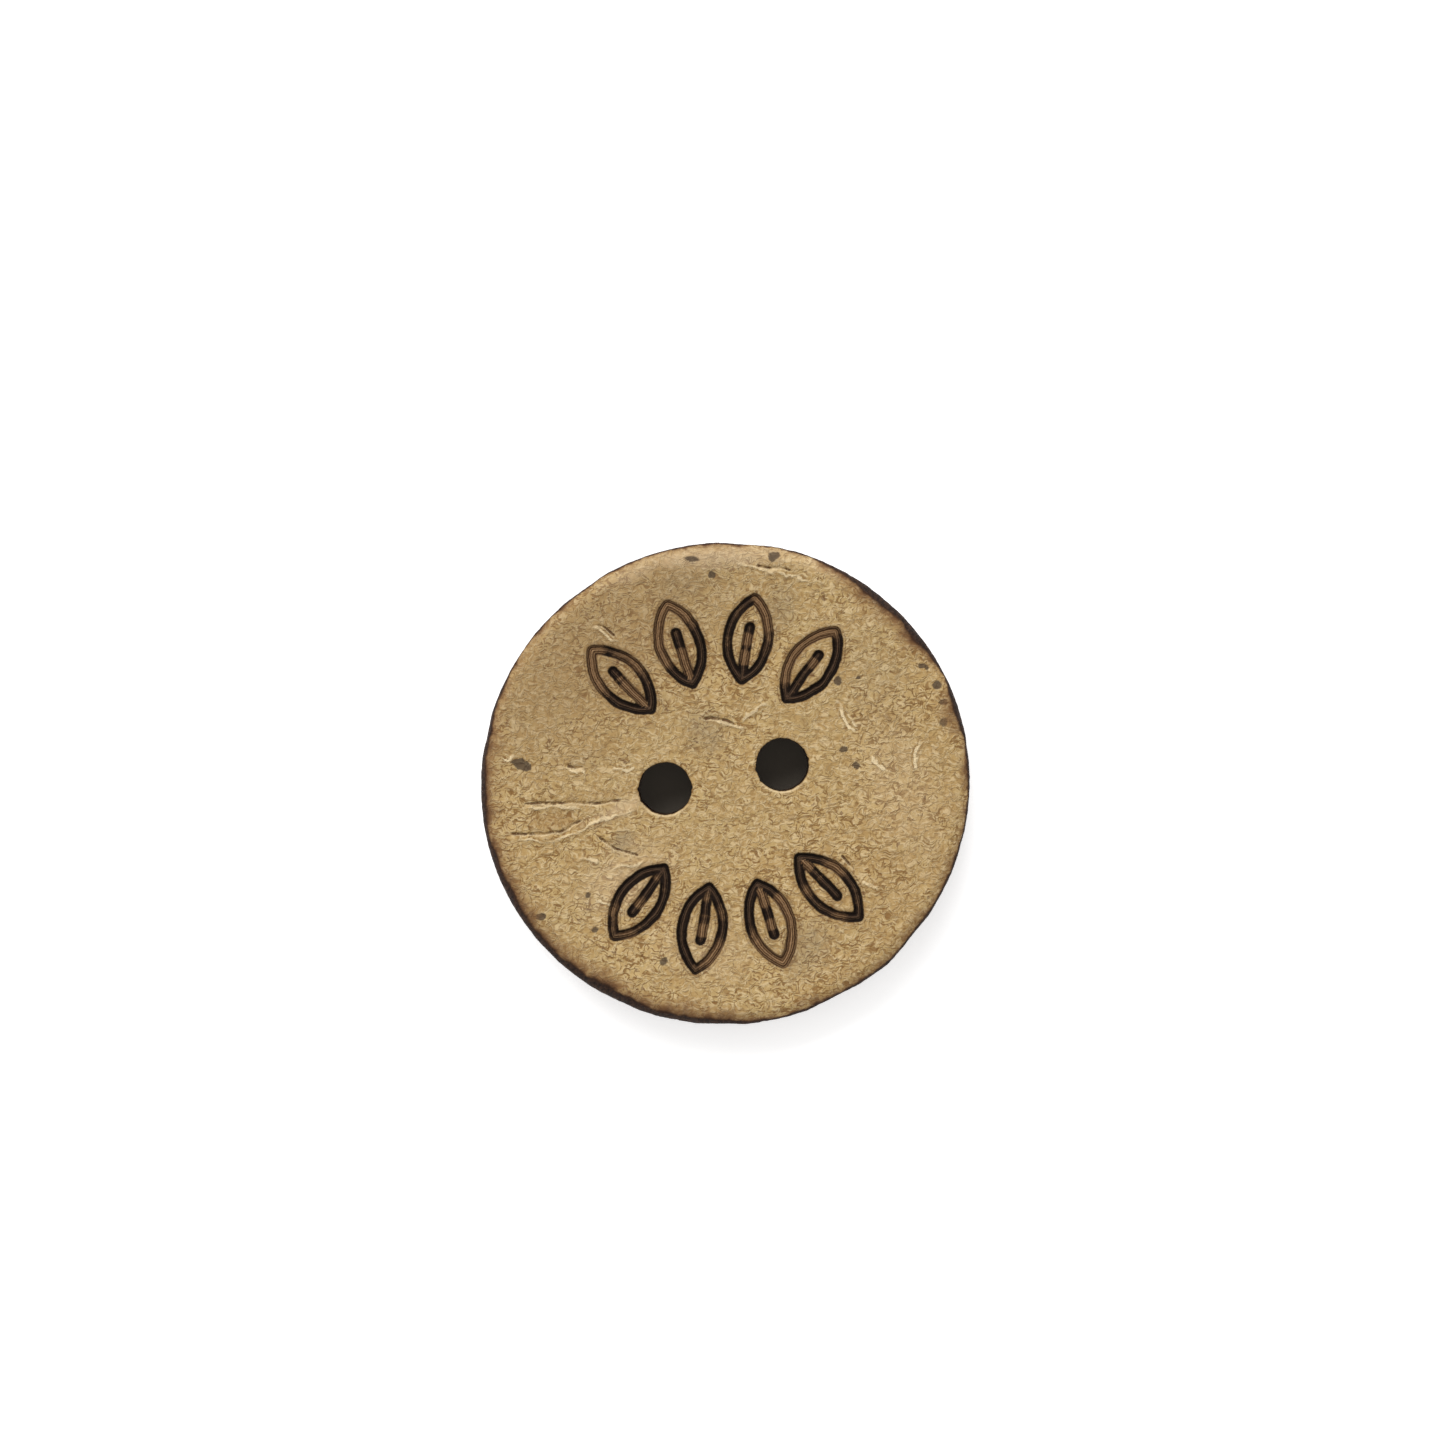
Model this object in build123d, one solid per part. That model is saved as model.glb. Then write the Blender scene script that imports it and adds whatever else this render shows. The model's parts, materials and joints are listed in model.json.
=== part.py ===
from build123d import *

import os

# Two-hole sew-on button cut from coconut shell, in millimetres.
# It lies on its flat ground back with the dished face up, towards +Z.
# The origin is the middle of the back, and +X runs along the line of the two sewing holes.
# The shell grows as two bonded layers: a hard dark body, and the pale skin that lined the nut.

# Outline: a disc that hand grinding has left very slightly oval
DIAMETER = 20.0
OVALITY = 0.0085  # share of the radius gained on the long axis and lost on the short one
LONG_AXIS_ANGLE = 7.0  # degrees from +X

# Section
RIM_HEIGHT = 3.0
DISH_DEPTH = 0.4
DISH_RADIUS = 9.2
FACE_EDGE_RADIUS = 0.7
BACK_EDGE_RADIUS = 0.5
SKIN_THICKNESS = 0.3

# Sewing holes
HOLE_DIAMETER = 2.15
HOLE_PITCH = 4.9
HOLE_LINE_Y = 0.3  # the pair sits a little off the middle

# Leaves burned into the face: two facing arcs of four
LEAF_RING_RADIUS = 6.0
LEAF_ARC_ANGLE = 83.0  # degrees from +X to the middle of the first arc
LEAF_STEP_ANGLE = 27.0
LEAVES_PER_ARC = 4
LEAF_LENGTH = 3.85
LEAF_WIDTH = 2.1
LEAF_VEIN_LENGTH = 2.2
LINE_WIDTH = 0.45
LINE_DEPTH = 0.12

HALF_LONG = DIAMETER / 2 * (1 + OVALITY)
HALF_SHORT = DIAMETER / 2 * (1 - OVALITY)
DISH_SPHERE_RADIUS = (DISH_RADIUS**2 + DISH_DEPTH**2) / (2 * DISH_DEPTH)
DISH_SPHERE_Z = RIM_HEIGHT - DISH_DEPTH + DISH_SPHERE_RADIUS


def dish_ball(depth):
    """The ball whose underside is the dished face, sunk by depth."""
    return Pos(0, 0, DISH_SPHERE_Z) * Sphere(DISH_SPHERE_RADIUS + depth)


def blank():
    """The oval disc with both its edges rounded over and no dish."""
    outline = Rot(Z=LONG_AXIS_ANGLE) * Ellipse(HALF_LONG, HALF_SHORT)
    disc = extrude(outline, amount=RIM_HEIGHT)
    disc = fillet(disc.faces().sort_by(Axis.Z)[-1].edges(), FACE_EDGE_RADIUS)
    return fillet(disc.faces().sort_by(Axis.Z)[0].edges(), BACK_EDGE_RADIUS)


def sewing_holes():
    """The two cylinders that pass right through the disc."""
    drill = Cylinder(HOLE_DIAMETER / 2, 3 * RIM_HEIGHT)
    return [Pos(side * HOLE_PITCH / 2, HOLE_LINE_Y, 0) * drill for side in (-1, 1)]


def pointed_oval(length, width, inset):
    """Where two equal circles overlap, its tips on X, with its outline moved in by inset."""
    circle_radius = (length**2 + width**2) / (4 * width)
    offset = circle_radius - width / 2
    circle = Circle(circle_radius - inset)
    return (Pos(0, offset) * circle) & (Pos(0, -offset) * circle)


def leaf():
    """One leaf drawn with a burned line: its outline, and a vein that starts at the inner tip."""
    outline = pointed_oval(LEAF_LENGTH, LEAF_WIDTH, 0) - pointed_oval(LEAF_LENGTH, LEAF_WIDTH, LINE_WIDTH)
    vein_centre = (LEAF_VEIN_LENGTH - LEAF_LENGTH) / 2 + LINE_WIDTH
    return outline + Pos(vein_centre, 0) * SlotOverall(LEAF_VEIN_LENGTH, LINE_WIDTH)


def burned_lines():
    """All the leaves as channels of one depth below the dished face."""
    pattern = leaf()
    channels = []
    for arc in (0, 180):
        for number in range(LEAVES_PER_ARC):
            steps_from_middle = number - (LEAVES_PER_ARC - 1) / 2
            angle = LEAF_ARC_ANGLE + arc + steps_from_middle * LEAF_STEP_ANGLE
            place = Rot(Z=angle) * Pos(LEAF_RING_RADIUS, 0)
            channels.append(extrude(place * pattern, amount=RIM_HEIGHT) & dish_ball(LINE_DEPTH))
    return channels


def write(solid, node):
    """Saves one sub-part under the name of its node."""
    solid.label = node
    export_step(solid, f"parts/{node}.step")


os.makedirs("parts", exist_ok=True)
button = blank() - dish_ball(0) - sewing_holes()
write(button - dish_ball(SKIN_THICKNESS), "shell_disc")
write((button & dish_ball(SKIN_THICKNESS)) - burned_lines(), "pale_inner_skin")
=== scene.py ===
"""Coconut-shell sew-on button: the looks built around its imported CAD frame.

Two pieces are made as worked-out surfaces, the pale inner skin with its burned leaves and the dark shell
under it. Lengths in this file are millimetres until a mesh is written, and metres in the scene.
"""

import json
import math

import bpy
import numpy as np
from bpy.props import FloatProperty, FloatVectorProperty, PointerProperty
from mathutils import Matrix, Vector
from mathutils.geometry import delaunay_2d_cdt


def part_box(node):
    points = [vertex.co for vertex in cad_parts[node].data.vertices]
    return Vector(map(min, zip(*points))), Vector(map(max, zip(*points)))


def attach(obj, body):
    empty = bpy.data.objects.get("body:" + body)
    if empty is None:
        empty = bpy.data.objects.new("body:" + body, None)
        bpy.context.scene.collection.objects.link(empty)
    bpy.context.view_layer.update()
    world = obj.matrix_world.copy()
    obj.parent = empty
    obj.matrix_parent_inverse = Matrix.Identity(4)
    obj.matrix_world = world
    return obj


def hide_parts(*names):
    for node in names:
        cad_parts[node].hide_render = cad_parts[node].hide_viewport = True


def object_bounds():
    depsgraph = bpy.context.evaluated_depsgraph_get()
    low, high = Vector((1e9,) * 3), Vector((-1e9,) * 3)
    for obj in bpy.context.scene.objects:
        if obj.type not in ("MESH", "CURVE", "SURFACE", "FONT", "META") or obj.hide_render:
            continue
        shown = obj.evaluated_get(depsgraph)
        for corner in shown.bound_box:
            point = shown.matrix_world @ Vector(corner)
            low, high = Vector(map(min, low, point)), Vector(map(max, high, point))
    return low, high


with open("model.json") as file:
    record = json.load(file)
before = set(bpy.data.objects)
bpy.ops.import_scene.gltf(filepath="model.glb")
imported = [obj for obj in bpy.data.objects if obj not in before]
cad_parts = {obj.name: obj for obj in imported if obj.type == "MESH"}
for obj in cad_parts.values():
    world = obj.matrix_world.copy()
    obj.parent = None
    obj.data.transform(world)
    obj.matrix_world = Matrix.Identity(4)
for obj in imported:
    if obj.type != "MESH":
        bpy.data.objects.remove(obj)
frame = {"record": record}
CAD_LOW, CAD_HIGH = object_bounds()

bl_info = {
    "name": "Coconut Shell Button",
    "version": (1, 0, 0),
    "blender": (4, 5, 0),
    "location": "View3D > Sidebar > Button",
    "description": "Two-hole sew-on button cut from coconut shell, with burned leaf marks",
    "category": "Add Mesh",
}

MM = 0.001
TURN = 2 * math.pi
FAR = 9.0  # a distance that counts as away from everything
LATTICE = 64  # steps after which lattice noise repeats
BODY = "root"
SHELL_NODE = "shell_disc"
SKIN_NODE = "pale_inner_skin"

# The section, as the CAD model has it
DISH_DEPTH = 0.4
DISH_RADIUS = 9.2
FACE_EDGE = 0.7
BACK_EDGE = 0.5
LONG_AXIS = math.radians(7.0)

# Sizes and places read from the frame
HALF_WIDTH = CAD_HIGH.x / MM
HALF_HEIGHT = CAD_HIGH.y / MM
RIM_TOP = CAD_HIGH.z / MM
SKIN_THICKNESS = RIM_TOP - DISH_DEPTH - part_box(SKIN_NODE)[0].z / MM
HOLES = [
    (m["pos_m"][0] / MM, m["pos_m"][1] / MM, m["dims"]["r_mm"])
    for m in frame["record"]["mounts"]
    if m["kind"] == "bore"
]
LIP = 0.02  # thickness of the skin where it has been ground away
BOND_GAP = 0.004  # the shell stays this much below the skin, so that their surfaces never touch

# Flats that hand grinding left on the outline: (degrees from +X, depth)
GROUND_FLATS = (
    (74.5, 0.07), (114.5, 0.05), (156.5, 0.05), (234.0, 0.05), (248.0, 0.04),
    (258.0, 0.06), (285.0, 0.08), (309.5, 0.05), (333.0, 0.03),
)
GROUND_CORNER = (300.5, 0.05, 4.0)  # degrees from +X, height, half-width in degrees

# How far in from the outline the pale skin has been ground away: (degrees from +X, width)
BARE_RIM = (
    (-12, 0.06), (0, 0.12), (6, 0.22), (11, 0.14), (14.5, 0.03), (18, 0.12), (25, 0.26), (34, 0.29),
    (42, 0.24), (49, 0.12), (58, 0.05), (80, 0.04), (140, 0.05), (150, 0.12), (160, 0.19), (180, 0.18),
    (196, 0.26), (215, 0.3), (236, 0.34), (250, 0.24), (264, 0.12), (285, 0.08), (302, 0.11), (325, 0.08),
)

# Nicks in the edge of a hole: (degrees from +X, size)
HOLE_NICKS = ((170, 0.045), (196, 0.035), (352, 0.03))

# Burned leaves, as the CAD model has them
LEAF_RING = 6.0
LEAF_ARC = 83.0
LEAF_STEP = 27.0
LEAVES_PER_ARC = 4
LEAF_LENGTH = 3.85
LEAF_WIDTH = 2.1
LEAF_VEIN = 2.2
LINE_WIDTH = 0.45

# Marks of the nut's own growth and of handling, each a bent line on the face in millimetres.
# A crack is a slit painted dark as its shade, with a painted highlight along its lower lip; a fold is a
# raised pale ridge, and a scratch is a pale scrape.
CRACKS = (
    ((-8.66, 0.95), (-7.44, 0.72), (-6.42, 0.52), (-5.54, 0.3), (-4.79, 0.27), (-3.9, 0.13)),
    ((-9.38, -0.14), (-8.38, -0.43), (-7.7, -0.57), (-7.07, -0.57), (-6.39, -0.33), (-5.75, -0.25)),
    ((-5.7, -0.89), (-5.32, -1.31), (-4.86, -1.74), (-4.34, -2.05), (-3.84, -2.28)),
    ((2.9, 8.58), (3.58, 8.33), (4.16, 8.09), (4.5, 7.92)),
    ((-0.5, 2.8), (0.12, 2.72), (0.63, 2.53), (1.08, 2.25)),
    ((4.1, -3.81), (4.32, -4.19), (4.6, -4.5)),
    ((-6.2, 2.05), (-5.83, 1.87), (-5.42, 1.82)),
    ((-3.95, 7.43), (-3.5, 7.17), (-3.2, 6.77)),
)
FOLDS = (
    ((-3.35, -0.2), (-4.28, -0.36), (-5.34, -0.42), (-6.31, -0.68), (-7.03, -0.87), (-7.73, -0.8),
     (-9.41, -0.36)),
    ((-8.4, 0.62), (-7.4, 0.5), (-6.6, 0.34), (-5.8, 0.14)),
    ((1.93, 8.84), (2.59, 8.56), (3.36, 8.22), (4.13, 7.86), (4.7, 7.6), (5.28, 7.33)),
    ((1.1, 2.35), (1.41, 2.63), (1.86, 2.75), (2.4, 2.93)),
    ((0.0, 2.62), (0.6, 2.42), (1.09, 2.18), (1.2, 1.9)),
    ((-4.1, 7.4), (-3.62, 7.06), (-3.34, 6.68), (-2.95, 6.42)),
    ((4.66, -4.98), (5.02, -5.3), (5.39, -5.55)),
    ((-6.6, -1.87), (-6.08, -1.93), (-5.62, -2.17)),
    ((-5.29, -2.57), (-4.49, -2.43), (-3.76, -2.53)),
)
SCRATCHES = (
    ((5.19, 2.57), (5.24, 2.02), (5.43, 1.47), (5.66, 0.95)),
    ((5.96, -0.02), (6.26, -0.42), (6.6, -0.85)),
    ((-8.77, 2.85), (-8.2, 2.77)),
    ((-6.17, 1.9), (-5.83, 1.72), (-5.42, 1.67)),
    ((-4.47, 1.6), (-4.05, 1.42), (-3.43, 1.38)),
    ((-6.13, -3.41), (-5.63, -3.85), (-5.02, -4.35)),
    ((8.09, 0.09), (7.81, -0.48), (7.8, -1.11)),
    ((7.36, 6.21), (7.63, 5.87), (7.75, 5.63)),
)

# Round stains on the face, and among the pale ones a painted highlight: (x, y, long radius, short radius,
# degrees of the long radius from +X, strength)
DARK_SPOTS = (
    (-8.04, 2.47, 0.33, 0.21, -28, 1.0),
    (-7.86, 2.35, 0.24, 0.21, 0, 1.0),
    (1.17, 8.48, 0.16, 0.15, 0, 0.95),
    (5.36, 3.21, 0.2, 0.16, 60, 0.9),
    (6.2, 3.18, 0.11, 0.07, 20, 0.8),
    (8.85, 3.14, 0.2, 0.09, 0, 0.8),
    (9.05, 3.02, 0.09, 0.12, 0, 0.7),
    (-8.44, -3.83, 0.22, 0.16, 0, 0.75),
    (3.83, 8.74, 0.25, 0.2, 30, 0.7),
    (0.5, 9.29, 0.31, 0.12, -15, 0.65),
    (9.3, 2.24, 0.2, 0.18, 0, 0.8),
    (9.43, 1.5, 0.18, 0.15, 0, 0.6),
    (9.27, 0.69, 0.19, 0.15, 0, 0.6),
    (-6.41, -4.79, 0.12, 0.11, 0, 0.8),
    (-6.41, -3.36, 0.12, 0.11, 0, 0.7),
    (5.04, 0.42, 0.16, 0.14, 0, 0.7),
    (5.4, -0.33, 0.15, 0.14, 0, 0.65),
    (-5.45, -4.1, 0.11, 0.09, 0, 0.6),
    (-3.9, -6.6, 0.18, 0.16, 0, 0.65),
)
GREY_PATCHES = (
    (-0.3, 8.35, 1.5, 0.9, 10, 0.8),
    (-0.4, 2.3, 0.75, 0.8, 0, 0.8),
    (3.6, 6.6, 0.6, 1.0, -20, 0.7),
    (-4.63, -1.44, 0.45, 0.35, 30, 1.0),
    (1.9, -7.2, 1.2, 0.8, 40, 0.8),
    (-7.6, 5.0, 1.2, 1.6, 40, 0.35),
    (-5.3, 2.2, 0.9, 0.5, 0, 0.4),
    (6.9, 2.6, 1.2, 2.4, 10, 0.3),
    (-3.4, 7.4, 7.0, 3.2, 24, 0.55),
)
# The first two pale patches lie along the top of the rim and are a painted highlight where the rounded edge
# faces the light; the rest are pale stains.
PALE_PATCHES_AND_RIM_HIGHLIGHT = (
    (1.6, 9.15, 3.0, 0.4, -9, 0.9),
    (-1.9, 9.2, 1.2, 0.3, 12, 0.6),
    (-4.8, -3.0, 1.7, 1.1, 20, 0.6),
    (-4.4, -0.15, 1.2, 0.28, 14, 0.8),
    (-2.3, -6.4, 1.6, 1.0, -30, 0.35),
    (5.6, 8.0, 1.6, 0.35, -32, 0.5),
    (7.0, -1.6, 1.3, 2.2, 10, 0.3),
)
RUSTY_PATCHES = (
    (-3.56, 5.28, 0.5, 0.55, 0, 0.7),
    (-7.2, -0.1, 1.0, 0.3, -8, 0.8),
    (-4.6, 0.55, 0.9, 0.18, -8, 0.6),
    (1.24, -9.28, 0.5, 0.1, 25, 0.8),
    (5.05, -7.33, 0.35, 0.1, 22, 0.6),
    (-5.2, 5.9, 0.9, 0.6, 60, 0.35),
    (3.4, -5.2, 2.0, 1.2, 30, 0.2),
    (-4.4, 7.0, 6.5, 3.4, 32, 0.5),
    (6.6, -5.2, 2.2, 4.5, -40, 0.25),
)

# Each family of bent lines by name: its lines, the seed of its waver, and the half-width it is drawn with
LINE_FAMILIES = {
    "crack": (CRACKS, 75, 0.16),
    "fold": (FOLDS, 71, 0.13),
    "scratch": (SCRATCHES, 79, 0.19),
}
# Each kind of patch by name: its ovals, how soft its edge is, and the seed of its ragged edge
PATCH_KINDS = {
    "spot": (DARK_SPOTS, 0.22, 83),
    "grey": (GREY_PATCHES, 0.75, 85),
    "rusty": (RUSTY_PATCHES, 0.7, 87),
    "pale": (PALE_PATCHES_AND_RIM_HIGHLIGHT, 0.75, 89),
}

# Fixed colours of the face, from pale to dark
# Pale of scraped fibres, also the painted highlight on the cracks' lower lips and the holes' lower sides.
SCRAPED_AND_HIGHLIGHT = (0.68, 0.54, 0.33)
# Pale of the pale stains, also the painted highlight along the top of the rim.
CHALKY_AND_HIGHLIGHT = (0.62, 0.47, 0.31)
WORN_PALE = (0.57, 0.435, 0.245)
WARM_TAN = (0.39, 0.255, 0.105)
# Painted glints between the streaks of a burned line.
GLINT_HIGHLIGHT = (0.36, 0.23, 0.125)
# Paler middle of a cool burned line: its own colour with a painted highlight along the centre ridge.
TOASTED_MIDDLE_AND_HIGHLIGHT = (0.33, 0.2, 0.105)
FELT_SHADE = (0.31, 0.185, 0.068)
RUST = (0.24, 0.12, 0.04)
SCORCH = (0.2, 0.11, 0.04)
LIGHT_BURN = (0.19, 0.1, 0.043)
RIM_BROWN = (0.19, 0.095, 0.04)
GREY_STAIN = (0.18, 0.14, 0.092)
LINE_HALO = (0.17, 0.085, 0.035)
SPECK = (0.13, 0.065, 0.03)
LINE_RING = (0.11, 0.052, 0.022)
# Paler middle of a hot burned line: its own colour with a painted highlight along the centre ridge.
BURNED_MIDDLE_AND_HIGHLIGHT = (0.11, 0.062, 0.036)
RIM_DARK = (0.1, 0.046, 0.021)
# Painted shade inside the cracks' slits.
SLIT_SHADE = (0.095, 0.039, 0.014)
SPOT = (0.062, 0.043, 0.03)
BURN_STREAK = (0.045, 0.022, 0.011)
RIM_EDGE = (0.03, 0.015, 0.01)

# Fixed colours of the shell and the stage
FIBRE_DOT = (0.3, 0.18, 0.1)
FIBRE_END = (0.2, 0.11, 0.057)
SHELL_PATCH = (0.12, 0.056, 0.028)
SINGED_SHELL = (0.034, 0.017, 0.01)
BURNED_SHELL = (0.01, 0.005, 0.0035)
PALE_FLOOR = (0.93, 0.93, 0.925)
DARK_CARD = (0.18, 0.155, 0.125)


class ButtonSizes(bpy.types.PropertyGroup):
    """Sizes that a user may change, in metres"""

    felt_relief: FloatProperty(
        name="Felt Relief", description="Height of the matted fibres on the face",
        default=0.011 * MM, subtype="DISTANCE", unit="LENGTH",
    )
    burn_depth: FloatProperty(
        name="Burn Depth", description="Depth of the burned leaf lines",
        default=0.15 * MM, subtype="DISTANCE", unit="LENGTH",
    )
    fold_height: FloatProperty(
        name="Fold Height", description="Height of the raised folds and lips of the cracks",
        default=0.05 * MM, subtype="DISTANCE", unit="LENGTH",
    )


class ButtonColours(bpy.types.PropertyGroup):
    """Colours that a user may change"""

    pale_skin: FloatVectorProperty(
        name="Pale Skin", description="Main colour of the face",
        default=(0.44, 0.308, 0.136), subtype="COLOR", size=3, min=0, max=1,
    )
    fleck: FloatVectorProperty(
        name="Fibre Fleck", description="Colour of the dark fibres in the face",
        default=(0.2, 0.104, 0.034), subtype="COLOR", size=3, min=0, max=1,
    )
    shell: FloatVectorProperty(
        name="Shell", description="Colour of the ground dark shell",
        default=(0.075, 0.034, 0.02), subtype="COLOR", size=3, min=0, max=1,
    )
    char: FloatVectorProperty(
        name="Char", description="Colour of burned lines and hole edges at their darkest",
        default=(0.008, 0.0045, 0.003), subtype="COLOR", size=3, min=0, max=1,
    )


# ---------------------------------------------------------------- shapes


def lattice_noise(x, y, cell, seed):
    """Smooth noise from -1 to 1: seeded random values on a square lattice, blended between its corners."""
    table = np.random.default_rng(seed).uniform(-1, 1, (LATTICE, LATTICE))
    u, v = x / cell + 17.3, y / cell + 9.1
    i, j = np.floor(u).astype(int), np.floor(v).astype(int)
    a, b = smooth_step(0, 1, u - i), smooth_step(0, 1, v - j)
    i, j, next_i, next_j = i % LATTICE, j % LATTICE, (i + 1) % LATTICE, (j + 1) % LATTICE
    near = table[i, j] * (1 - a) + table[next_i, j] * a
    far = table[i, next_j] * (1 - a) + table[next_i, next_j] * a
    return near * (1 - b) + far * b


def layered_noise(x, y, seed, *layers):
    """Sum of lattice noises, each layer given as (height, cell), with seeds that follow one another."""
    return sum(height * lattice_noise(x, y, cell, seed + n) for n, (height, cell) in enumerate(layers))


def ring_noise(angle, steps, seed):
    """Smooth noise from -1 to 1 that closes on itself after a full turn, with that many steps round."""
    table = np.random.default_rng(seed).uniform(-1, 1, steps)
    u = (angle % TURN) / TURN * steps
    i = np.floor(u).astype(int)
    a = smooth_step(0, 1, u - i)
    return table[i % steps] * (1 - a) + table[(i + 1) % steps] * a


def smooth_step(low, high, value):
    """0 below low, 1 above high, and an S-curve between."""
    t = np.clip((value - low) / (high - low), 0, 1)
    return t * t * (3 - 2 * t)


def oval_axes():
    """The outline's half axes, worked back from the frame's box and the long axis's angle."""
    c, s, double = math.cos(LONG_AXIS) ** 2, math.sin(LONG_AXIS) ** 2, math.cos(2 * LONG_AXIS)
    long_half = math.sqrt((HALF_WIDTH**2 * c - HALF_HEIGHT**2 * s) / double)
    short_half = math.sqrt((HALF_HEIGHT**2 * c - HALF_WIDTH**2 * s) / double)
    return long_half, short_half


def oval_radius(angle):
    """Radius of the CAD oval at an angle: a*b / sqrt((b cos)^2 + (a sin)^2)."""
    a, b = oval_axes()
    t = angle - LONG_AXIS
    return a * b / np.sqrt((b * np.cos(t)) ** 2 + (a * np.sin(t)) ** 2)


def away_from(angle, degrees):
    """Signed angle from a direction given in degrees, between half a turn back and half a turn on."""
    return (angle - math.radians(degrees) + math.pi) % TURN - math.pi


def outline_radius(angle):
    """The oval with its ground flats, each a straight chord, its one corner, and a slight waver."""
    radius = oval_radius(angle) - 0.012
    for degrees, depth in GROUND_FLATS:
        bend = np.cos(np.clip(away_from(angle, degrees), -1.2, 1.2))
        radius = np.minimum(radius, (oval_radius(math.radians(degrees)) - depth) / bend)
    degrees, height, half_width = GROUND_CORNER
    away = away_from(angle, degrees)
    radius = radius + height * np.exp(-((away / math.radians(half_width)) ** 2))
    return radius + 0.008 * ring_noise(angle, 90, 3) + 0.004 * ring_noise(angle, 400, 4)


def bare_width(angle):
    """How far in from the outline the skin stops, read between the listed widths and roughened."""
    degrees, widths = zip(*BARE_RIM)
    width = np.interp(np.degrees(angle), degrees, widths, period=360)
    ragged = 1 + 0.2 * ring_noise(angle, 70, 11) + 0.14 * ring_noise(angle, 210, 12)
    return np.clip(width * ragged, 0.015, 0.6)


def profile(reach, angle):
    """The face's section. reach is the distance along the surface from the middle: straight out to where
    the edge starts to round over, then along the quarter circle of the edge. Gives the radius, the
    height, and the lean of the surface in radians, which is 0 on the flat and a quarter turn at the wall."""
    outer = outline_radius(angle)
    start = outer - FACE_EDGE
    lean = np.clip((reach - start) / FACE_EDGE, 0, math.pi / 2)
    radius = np.minimum(reach, start) + FACE_EDGE * np.sin(lean)
    edge = RIM_TOP - FACE_EDGE + FACE_EDGE * np.cos(lean)
    dish = RIM_TOP - DISH_DEPTH * (1 - (radius / DISH_RADIUS) ** 2)
    blend = 0.08
    overlap = np.clip(blend - np.abs(edge - dish), 0, None) / blend
    height = np.minimum(edge, dish) - overlap**2 * blend / 4
    return radius, height, lean


def off_face(reach, angle, out):
    """Radius, height and lean of a place moved out square from the section, or in where out is negative."""
    radius, height, lean = profile(reach, angle)
    return radius + out * np.sin(lean), height + out * np.cos(lean), lean


def skin_reach(angle):
    """How far along the section the skin goes before it is ground away."""
    lean = np.arcsin(1 - bare_width(angle) / FACE_EDGE)
    return outline_radius(angle) - FACE_EDGE + FACE_EDGE * lean


def skin_depth(reach, angle):
    """Thickness of the skin: full on the face, and down to a thin lip where it ends."""
    return LIP + (SKIN_THICKNESS - LIP) * smooth_step(0, 1.1, skin_reach(angle) - reach)


def hole_radius(number, angle):
    """Radius of a burned hole: round, with a slight waver and a few nicks."""
    radius = HOLES[number][2] + 0.014 * ring_noise(angle, 22, 31 + number)
    for degrees, size in HOLE_NICKS:
        away = away_from(angle, degrees + 9 * number)
        radius = radius + size * np.exp(-((away / 0.07) ** 2))
    return radius


def hole_gap(x, y):
    """Distance from each point to the edge of the nearer sewing hole."""
    gaps = []
    for number, (cx, cy, _) in enumerate(HOLES):
        angle = np.arctan2(y - cy, x - cx)
        gaps.append(np.hypot(x - cx, y - cy) - hole_radius(number, angle))
    return np.minimum(*gaps)


def lower_hole_highlight(x, y):
    """The painted highlight on the lower side of each hole, where its small bevel faces the light: a narrow
    bell just outside its edge, full straight below the hole's middle and gone at its sides."""
    lips = []
    for cx, cy, radius in HOLES:
        reach = np.hypot(x - cx, y - cy)
        below = np.clip((cy - y + 0.25 * (cx - x)) / radius, 0, 1)
        lips.append(below**2 * np.exp(-(((reach - radius - 0.05) / 0.045) ** 2)))
    return np.maximum(*lips)


def path_gap(x, y, path):
    """Distance from each point to a bent line, the same with a minus on the line's right, and the place
    along the line, from 0 to 1, that the point is nearest to."""
    gap, side, along, done = np.full(x.shape, FAR), np.zeros(x.shape), np.zeros(x.shape), 0.0
    total = sum(math.dist(a, b) for a, b in zip(path, path[1:]))
    for (x0, y0), (x1, y1) in zip(path, path[1:]):
        length = math.dist((x0, y0), (x1, y1))
        share = ((x - x0) * (x1 - x0) + (y - y0) * (y1 - y0)) / length**2
        share = np.clip(share, 0, 1)
        here = np.hypot(x - x0 - share * (x1 - x0), y - y0 - share * (y1 - y0))
        turned = np.sign((x1 - x0) * (y - y0) - (y1 - y0) * (x - x0))
        nearer = here < gap
        along = np.where(nearer, (done + share * length) / total, along)
        side = np.where(nearer, here * turned, side)
        gap = np.minimum(gap, here)
        done += length
    return gap, side, along


def leaf_paths():
    """The centre lines of one leaf about its own middle, tips on X: its closed outline, and its vein."""
    long_half = (LEAF_LENGTH - LINE_WIDTH) / 2
    wide_half = (LEAF_WIDTH - LINE_WIDTH) / 2
    bend = (long_half**2 + wide_half**2) / (2 * wide_half)
    sweep = math.asin(long_half / bend)
    turn = np.linspace(-sweep, sweep, 15)
    side = np.stack([bend * np.sin(turn), bend * np.cos(turn) - (bend - wide_half)], 1)
    outline = np.concatenate([side, side[-2::-1] * (1, -1)])
    vein = np.array([[-long_half, 0.0], [-long_half + LEAF_VEIN * 0.5, 0.03], [-long_half + LEAF_VEIN, 0.0]])
    return outline, vein


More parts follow.
